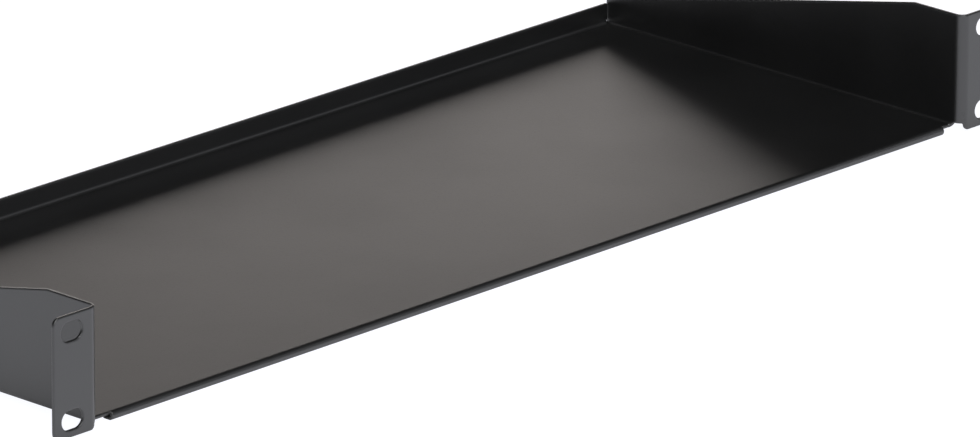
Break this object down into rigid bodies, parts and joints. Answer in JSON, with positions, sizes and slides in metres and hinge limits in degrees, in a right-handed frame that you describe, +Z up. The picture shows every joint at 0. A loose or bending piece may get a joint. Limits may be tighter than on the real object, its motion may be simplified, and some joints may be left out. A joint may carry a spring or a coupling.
{
  "type": "cantilever rack shelf",
  "caption": "Shallow cantilever shelf for a rack, folded from one steel sheet, with slotted ears, tapered side walls, a rear lip and a hemmed front edge.",
  "frame": {"origin": "midway between the two ears, on the plane of their rear faces, at half their height", "axes": "+X across the rack to the right, +Y from the front to the rear of the rack, +Z up"},
  "size_m": [0.4826, 0.1765, 0.0455],
  "materials": {
    "powder_coat": "satin black powder coat"
  },
  "bodies": {
    "root": {"folded_shelf": "powder_coat"}
  },
  "joints": []
}
